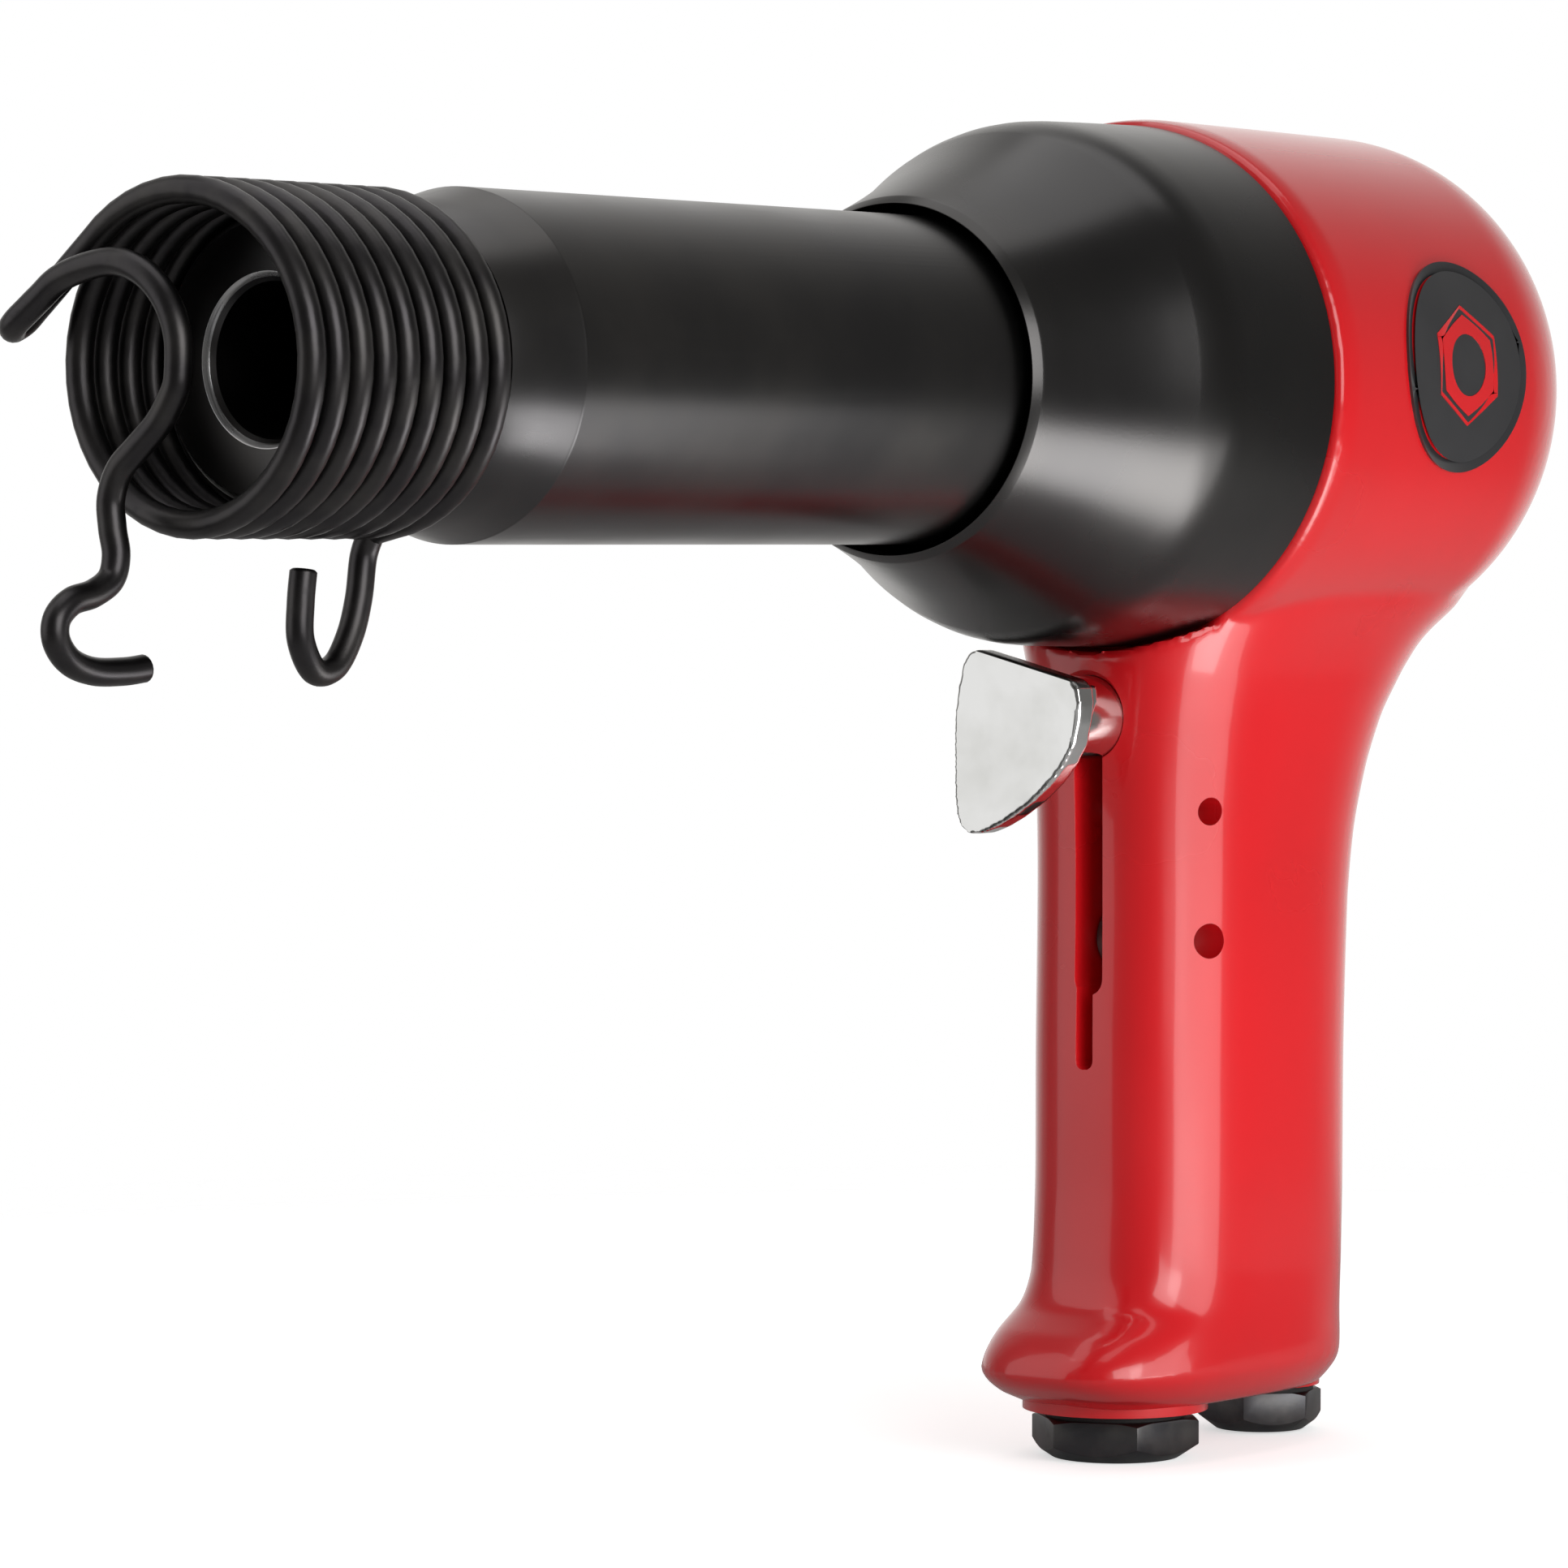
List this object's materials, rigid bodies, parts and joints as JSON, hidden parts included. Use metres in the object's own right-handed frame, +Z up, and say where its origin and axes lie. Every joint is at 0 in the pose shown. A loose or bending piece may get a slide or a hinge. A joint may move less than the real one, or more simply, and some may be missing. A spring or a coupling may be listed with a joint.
{
  "type": "pneumatic air hammer",
  "caption": "Pistol-grip pneumatic hammer: black barrel with a wire spring tool retainer, exhaust deflector, red handle, trigger and threaded air inlet.",
  "frame": {"origin": "mouth of the straight tool-shank bore, on the barrel axis", "axes": "+X back along the barrel towards the head, +Z up, +Y to the tool's right; the grip hangs down"},
  "size_m": [0.2845, 0.0749, 0.1869],
  "materials": {
    "barrel_steel": "black oxide, satin",
    "spring_wire": "black oxide, satin",
    "deflector_black": "satin gloss black",
    "red_paint": "glossy red paint on cast aluminium",
    "badge_black": "glossy label",
    "chrome": "bright chrome",
    "fitting_steel": "dark grey plated",
    "hardened_steel": "hardened, dull",
    "polished_steel": "ground",
    "black_rubber": "matte",
    "brass": "plain"
  },
  "bodies": {
    "hammer": {"barrel": "barrel_steel", "retainer_coil": "spring_wire", "exhaust_deflector": "deflector_black", "deflector_seal": "black_rubber", "spigot_o_ring": "black_rubber", "valve_seat": "polished_steel", "valve_case": "polished_steel", "valve_dowels": "hardened_steel", "valve_spring_washer": "hardened_steel", "head_gasket": "black_rubber", "handle": "red_paint", "badge": "badge_black", "lever_pivot_pin": "hardened_steel", "lever_stop_pin": "hardened_steel", "throttle_sleeve": "polished_steel", "sleeve_o_rings": "black_rubber", "throttle_spring": "polished_steel", "spring_seat": "hardened_steel", "air_inlet_bushing": "fitting_steel", "inlet_gasket": "black_rubber", "inlet_screen": "brass", "rear_plug": "fitting_steel", "rear_plug_gasket": "black_rubber"},
    "piston": {"piston": "polished_steel"},
    "valve_disc": {"valve_disc": "polished_steel"},
    "trigger": {"trigger": "chrome"},
    "throttle_lever": {"throttle_lever": "hardened_steel"},
    "throttle_valve": {"throttle_valve": "polished_steel", "throttle_seal": "black_rubber"},
    "retainer_gate": {"retainer_gate": "spring_wire"}
  },
  "joints": [
    {"name": "piston_slide", "type": "slide", "parent": "hammer", "child": "piston", "axis": [1, 0, 0], "range_m": [0, 0.088]},
    {"name": "valve_disc_slide", "type": "slide", "parent": "hammer", "child": "valve_disc", "axis": [1, 0, 0], "range_m": [0, 0.0022]},
    {"name": "trigger_slide", "type": "slide", "parent": "hammer", "child": "trigger", "axis": [1, 0, 0], "range_m": [0, 0.004], "stiffness_N_per_m": 1500, "springref_m": -0.004},
    {"name": "throttle_lever_hinge", "type": "hinge", "parent": "hammer", "child": "throttle_lever", "pos_m": [0.164, 0, -0.077], "axis": [0, 1, 0], "range_deg": [0, 7.6]},
    {"name": "throttle_valve_slide", "type": "slide", "parent": "hammer", "child": "throttle_valve", "axis": [1, 0, 0], "range_m": [0, 0.00405], "deforming": ["throttle_spring"]},
    {"name": "retainer_gate_hinge", "type": "hinge", "parent": "hammer", "child": "retainer_gate", "pos_m": [-0.031, 0.0209, 0.00595], "axis": [0, 0.82, -0.5724], "range_deg": [0, 80], "stiffness_Nm_per_rad": 0.1, "springref_deg": -20.05}
  ],
  "couplings": [
    {"joint": "throttle_lever_hinge", "follows": "trigger_slide", "rad_per_m": 32.26},
    {"joint": "throttle_valve_slide", "follows": "trigger_slide", "ratio": 1}
  ]
}
